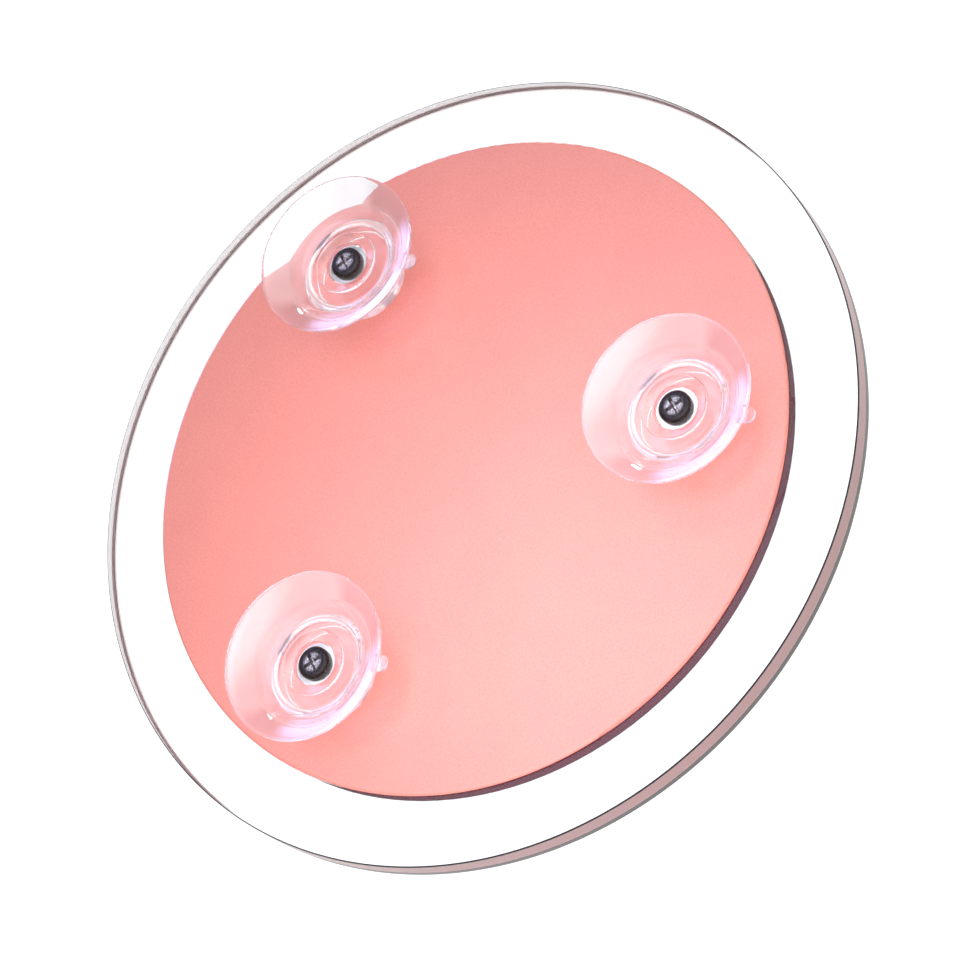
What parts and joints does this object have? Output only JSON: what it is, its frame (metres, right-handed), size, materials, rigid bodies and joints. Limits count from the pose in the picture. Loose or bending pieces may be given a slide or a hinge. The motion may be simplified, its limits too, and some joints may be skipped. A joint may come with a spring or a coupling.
{
  "type": "suction cup magnifying mirror",
  "caption": "Round dished magnifying mirror in a clear acrylic ring with a pink back cover, held on a smooth wall by soft suction cups that turn on their screws.",
  "frame": {"origin": "middle of the front face, which the mirror lies on", "axes": "+Z towards the back of the mirror, which is the wall when it hangs; +Y towards the top suction cup"},
  "size_m": [0.2032, 0.2032, 0.0238],
  "materials": {
    "clear_acrylic": "transparent polished acrylic",
    "silvered_glass": "silvered glass",
    "foam_tape": "white closed cell foam tape",
    "pink_plastic": "pink moulded plastic with a fine grain",
    "brass": "turned brass",
    "dark_steel": "dark plated steel",
    "bright_steel": "bright nickel plated steel",
    "clear_pvc": "transparent soft vinyl"
  },
  "bodies": {
    "mirror_plate": {"rear_clear_ring": "clear_acrylic", "front_clear_ring": "clear_acrylic", "magnifying_mirror": "silvered_glass", "mirror_foam_ring": "foam_tape", "back_cover": "pink_plastic", "threaded_insert_top": "brass", "threaded_insert_left": "brass", "threaded_insert_right": "brass", "cup_washer_top": "bright_steel", "cup_washer_left": "bright_steel", "cup_washer_right": "bright_steel", "cup_screw_top": "dark_steel", "cup_screw_left": "dark_steel", "cup_screw_right": "dark_steel"},
    "cup_top": {"suction_cup_top": "clear_pvc"},
    "cup_left": {"suction_cup_left": "clear_pvc"},
    "cup_right": {"suction_cup_right": "clear_pvc"}
  },
  "joints": [
    {"name": "cup_top_swivel", "type": "hinge", "parent": "mirror_plate", "child": "cup_top", "pos_m": [0, 0.0608, 0.0076], "axis": [0, 0, 1], "continuous": true},
    {"name": "cup_left_swivel", "type": "hinge", "parent": "mirror_plate", "child": "cup_left", "pos_m": [-0.05265, -0.0304, 0.0076], "axis": [0, 0, 1], "continuous": true},
    {"name": "cup_right_swivel", "type": "hinge", "parent": "mirror_plate", "child": "cup_right", "pos_m": [0.05265, -0.0304, 0.0076], "axis": [0, 0, 1], "continuous": true}
  ]
}
